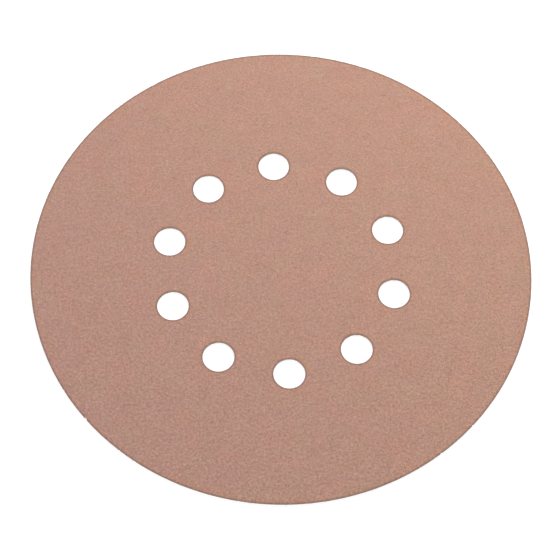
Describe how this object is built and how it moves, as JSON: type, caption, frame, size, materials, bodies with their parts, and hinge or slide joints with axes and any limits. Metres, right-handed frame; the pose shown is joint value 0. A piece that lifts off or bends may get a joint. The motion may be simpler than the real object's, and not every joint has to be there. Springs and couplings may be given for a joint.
{
  "type": "hook and loop sanding disc",
  "caption": "Round, flat sanding disc with a ring of dust holes; abrasive grain on heavy paper, with a loop fabric back that grips the sander's hook pad.",
  "frame": {"origin": "centre of the loop face, on the surface that the disc rests on", "axes": "+Z out of the grain face, along the disc's axis; +Y from the centre towards one of the dust holes; +X to the right of it, seen from the grain side"},
  "size_m": [0.225, 0.225, 0.0013],
  "materials": {
    "loop_fabric": "brushed knit of small off-white nylon loops",
    "paper_backing": "heavy fibrous paper, seen only at its cut edges",
    "sanding_grit": "matt pinkish tan grain in resin, fine and even"
  },
  "bodies": {
    "root": {"loop_fabric": "loop_fabric", "paper_backing": "paper_backing", "sanding_grit": "sanding_grit"}
  },
  "joints": []
}
